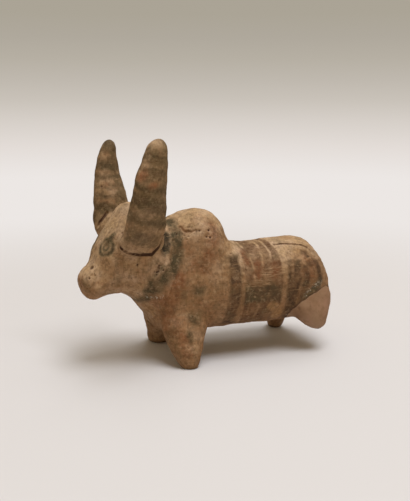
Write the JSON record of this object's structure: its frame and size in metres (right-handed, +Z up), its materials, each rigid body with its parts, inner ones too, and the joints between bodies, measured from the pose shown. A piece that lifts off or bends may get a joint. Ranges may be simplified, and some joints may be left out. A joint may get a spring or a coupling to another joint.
{
  "type": "terracotta zebu figurine",
  "caption": "Hand-modelled clay zebu bull with a hump, upright tapering horns, conical legs, painted bands on its body and a repaired hind corner.",
  "frame": {"origin": "bottom centre of the bounding box, on the surface the soles rest on", "axes": "+X from the muzzle towards the rump, +Y towards the animal's right side, +Z up; the animal looks along -X"},
  "size_m": [0.0968, 0.05, 0.082],
  "materials": {
    "painted_clay": "matt fired clay, tan to pinkish brown, hand-smoothed, with worn dark brown and grey-green painted bands",
    "horn_clay": "matt fired clay, olive brown, with worn dark painted rings",
    "repair_filler": "smooth matt repair filler, pinkish beige, toned to match the clay"
  },
  "bodies": {
    "root": {"torso": "painted_clay", "hump": "painted_clay", "head": "painted_clay", "left_horn": "horn_clay", "right_horn": "horn_clay", "left_foreleg": "painted_clay", "right_foreleg": "painted_clay", "right_hind_leg": "painted_clay", "left_hind_filler": "repair_filler"}
  },
  "joints": []
}
